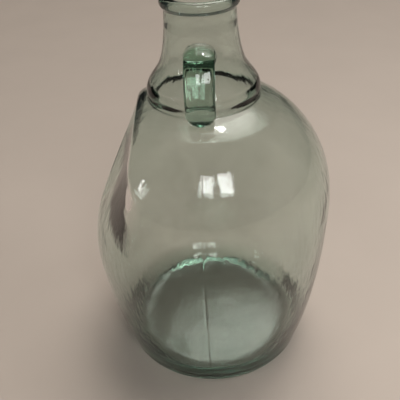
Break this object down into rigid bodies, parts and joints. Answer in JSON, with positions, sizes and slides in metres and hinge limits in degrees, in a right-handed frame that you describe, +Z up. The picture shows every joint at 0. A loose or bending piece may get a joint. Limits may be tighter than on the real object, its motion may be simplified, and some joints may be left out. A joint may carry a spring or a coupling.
{
  "type": "glass carboy",
  "caption": "Round-shouldered green glass carboy with a flared straight neck, rolled lip, strap finger handle and a flattened side on its shoulder.",
  "frame": {"origin": "on the ground under the axis of the mouth, in the middle of the foot ring", "axes": "+Z up along the neck, -Y towards the handle, the flattened side of the shoulder faces -X"},
  "size_m": [0.1755, 0.176, 0.272],
  "materials": {
    "green_glass": "smooth blown glass with a pale green tint, wavy surface and a few seeds"
  },
  "bodies": {
    "root": {"base": "green_glass", "belly": "green_glass", "shoulder": "green_glass", "upper_shoulder": "green_glass", "neck": "green_glass", "lip_ring": "green_glass", "handle": "green_glass"}
  },
  "joints": []
}
